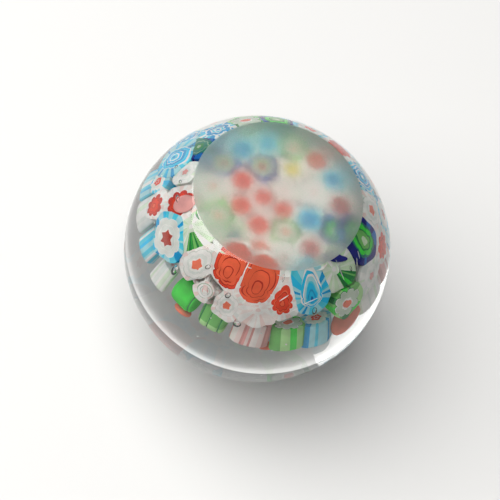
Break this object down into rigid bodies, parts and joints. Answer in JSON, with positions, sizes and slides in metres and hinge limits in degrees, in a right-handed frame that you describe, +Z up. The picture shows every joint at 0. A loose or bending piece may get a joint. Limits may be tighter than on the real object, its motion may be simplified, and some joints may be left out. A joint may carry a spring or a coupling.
{
  "type": "paperweight",
  "caption": "Clear glass ball paperweight with a flat ground face and patterned glass cane slices sealed inside.",
  "frame": {"origin": "centre of the small flat at the ball's lowest point, on its axis, where it touches the surface it rests on", "axes": "+Z up along the ball's axis, which is the outward normal of the flat ground face; X and Y level, with -Y towards the viewer"},
  "size_m": [0.066, 0.066, 0.0586],
  "materials": {
    "clear_glass": "clear and polished, with one flat face ground matt",
    "aqua_daisy_glass": "fused coloured glass cane, glossy",
    "aqua_star_glass": "fused coloured glass cane, glossy",
    "blue_lily_glass": "fused coloured glass cane, glossy",
    "blue_star_glass": "fused coloured glass cane, glossy",
    "green_daisy_glass": "fused coloured glass cane, glossy",
    "green_leaf_glass": "fused coloured glass cane, glossy",
    "navy_green_glass": "fused coloured glass cane, glossy",
    "navy_star_glass": "fused coloured glass cane, glossy",
    "pale_leaf_glass": "fused coloured glass cane, glossy",
    "pink_stripe_glass": "fused coloured glass cane, glossy",
    "red_blossom_glass": "fused coloured glass cane, glossy",
    "red_chip_glass": "fused coloured glass cane, glossy",
    "red_rose_glass": "fused coloured glass cane, glossy",
    "ring_bead_glass": "fused coloured glass cane, glossy",
    "teal_daisy_glass": "fused coloured glass cane, glossy",
    "white_daisy_glass": "fused coloured glass cane, glossy",
    "white_pearl_glass": "fused coloured glass cane, glossy",
    "yellow_daisy_glass": "fused coloured glass cane, glossy"
  },
  "bodies": {
    "root": {"glass_ball": "clear_glass", "centre_01_red_blossom": "red_blossom_glass", "centre_02_red_blossom": "red_blossom_glass", "centre_03_white_pearl": "white_pearl_glass", "inner_01_red_blossom": "red_blossom_glass", "inner_02_red_blossom": "red_blossom_glass", "inner_03_green_daisy": "green_daisy_glass", "inner_04_blue_lily": "blue_lily_glass", "inner_05_white_pearl": "white_pearl_glass", "inner_06_yellow_daisy": "yellow_daisy_glass", "inner_07_navy_star": "navy_star_glass", "inner_08_red_blossom": "red_blossom_glass", "outer_01_white_daisy": "white_daisy_glass", "outer_02_green_daisy": "green_daisy_glass", "outer_03_ring_bead": "ring_bead_glass", "outer_04_red_rose": "red_rose_glass", "outer_05_white_pearl": "white_pearl_glass", "outer_06_red_blossom": "red_blossom_glass", "outer_07_navy_green": "navy_green_glass", "outer_08_red_blossom": "red_blossom_glass", "outer_09_blue_lily": "blue_lily_glass", "outer_10_red_rose": "red_rose_glass", "outer_11_green_daisy": "green_daisy_glass", "outer_12_aqua_daisy": "aqua_daisy_glass", "outer_13_blue_lily": "blue_lily_glass", "outer_14_navy_star": "navy_star_glass", "shoulder_01_red_rose": "red_rose_glass", "shoulder_02_red_rose": "red_rose_glass", "shoulder_03_red_blossom": "red_blossom_glass", "shoulder_04_blue_lily": "blue_lily_glass", "shoulder_05_pale_leaf": "pale_leaf_glass", "shoulder_06_navy_green": "navy_green_glass", "shoulder_07_white_daisy": "white_daisy_glass", "shoulder_08_blue_lily": "blue_lily_glass", "shoulder_09_red_blossom": "red_blossom_glass", "shoulder_10_aqua_daisy": "aqua_daisy_glass", "shoulder_11_navy_green": "navy_green_glass", "shoulder_12_green_daisy": "green_daisy_glass", "shoulder_13_blue_star": "blue_star_glass", "shoulder_14_teal_daisy": "teal_daisy_glass", "shoulder_15_white_pearl": "white_pearl_glass", "shoulder_16_red_blossom": "red_blossom_glass", "shoulder_17_pale_leaf": "pale_leaf_glass", "shoulder_18_white_daisy": "white_daisy_glass", "side_slices_ring_bead": "ring_bead_glass", "side_slices_white_daisy": "white_daisy_glass", "side_slices_pink_stripe": "pink_stripe_glass", "side_slices_green_daisy": "green_daisy_glass", "side_slices_white_pearl": "white_pearl_glass", "side_slices_red_blossom": "red_blossom_glass", "side_slices_aqua_star": "aqua_star_glass", "side_slices_blue_lily": "blue_lily_glass", "side_slices_aqua_daisy": "aqua_daisy_glass", "skirt_slices_white_pearl": "white_pearl_glass", "skirt_slices_green_leaf": "green_leaf_glass", "skirt_slices_pink_stripe": "pink_stripe_glass", "skirt_slices_green_daisy": "green_daisy_glass", "skirt_slices_aqua_daisy": "aqua_daisy_glass", "skirt_slices_red_chip": "red_chip_glass", "skirt_slices_aqua_star": "aqua_star_glass"}
  },
  "joints": []
}
